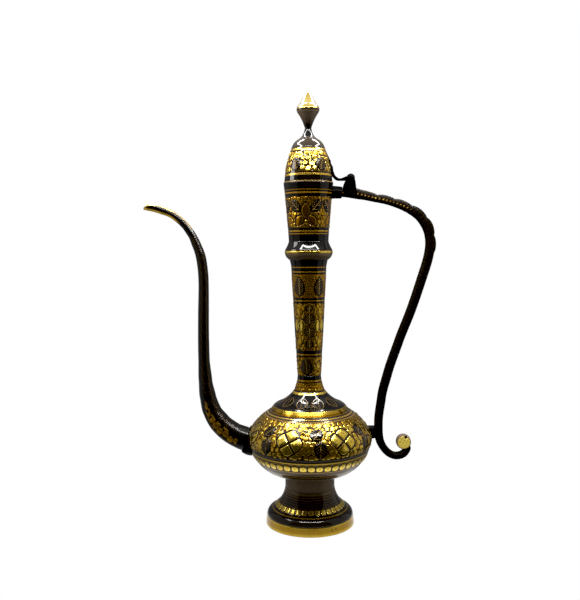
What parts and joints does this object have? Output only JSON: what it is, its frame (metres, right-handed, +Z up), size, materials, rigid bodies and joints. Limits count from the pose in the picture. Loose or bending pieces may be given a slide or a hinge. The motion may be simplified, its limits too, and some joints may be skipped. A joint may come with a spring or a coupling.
{
  "type": "coffee pot",
  "caption": "Tall metal pouring pot with a round bowl on a flared foot, slim flared neck, upright S-shaped spout, long curled handle and a hinged domed lid with a turned knob.",
  "frame": {"origin": "middle of the foot's base on the pot's axis", "axes": "+Z up along the pot's axis, -X towards the spout, +X towards the handle, +Y across the pot and along the lid's hinge pin"},
  "size_m": [0.2544, 0.1103, 0.38],
  "materials": {
    "etched_brass": "brass under black lacquer, etched through to the metal in bands of leaves and flowers, low sheen",
    "dark_brass": "dark bronze-brown lacquer over brass, glossy, worn bright on edges",
    "polished_brass": "bare polished brass"
  },
  "bodies": {
    "pot": {"foot": "etched_brass", "lower_bowl": "etched_brass", "upper_bowl": "etched_brass", "shoulder_cap": "dark_brass", "neck_tube": "etched_brass", "neck_ring": "dark_brass", "mouth_tube": "etched_brass", "spout": "dark_brass", "spout_flange": "dark_brass", "handle": "dark_brass", "handle_ferrule": "dark_brass", "handle_lug": "dark_brass", "hinge_post": "dark_brass", "hinge_pin": "polished_brass"},
    "lid": {"lid_dome": "etched_brass", "lid_sleeve": "polished_brass", "finial": "dark_brass", "finial_washer": "polished_brass", "finial_nut": "polished_brass", "hinge_strap": "dark_brass", "rivet_lower": "polished_brass", "rivet_upper": "polished_brass"}
  },
  "joints": [
    {"name": "lid_hinge", "type": "hinge", "parent": "pot", "child": "lid", "pos_m": [0.0366, 0, 0.3052], "axis": [0, 1, 0], "range_deg": [0, 105]}
  ]
}
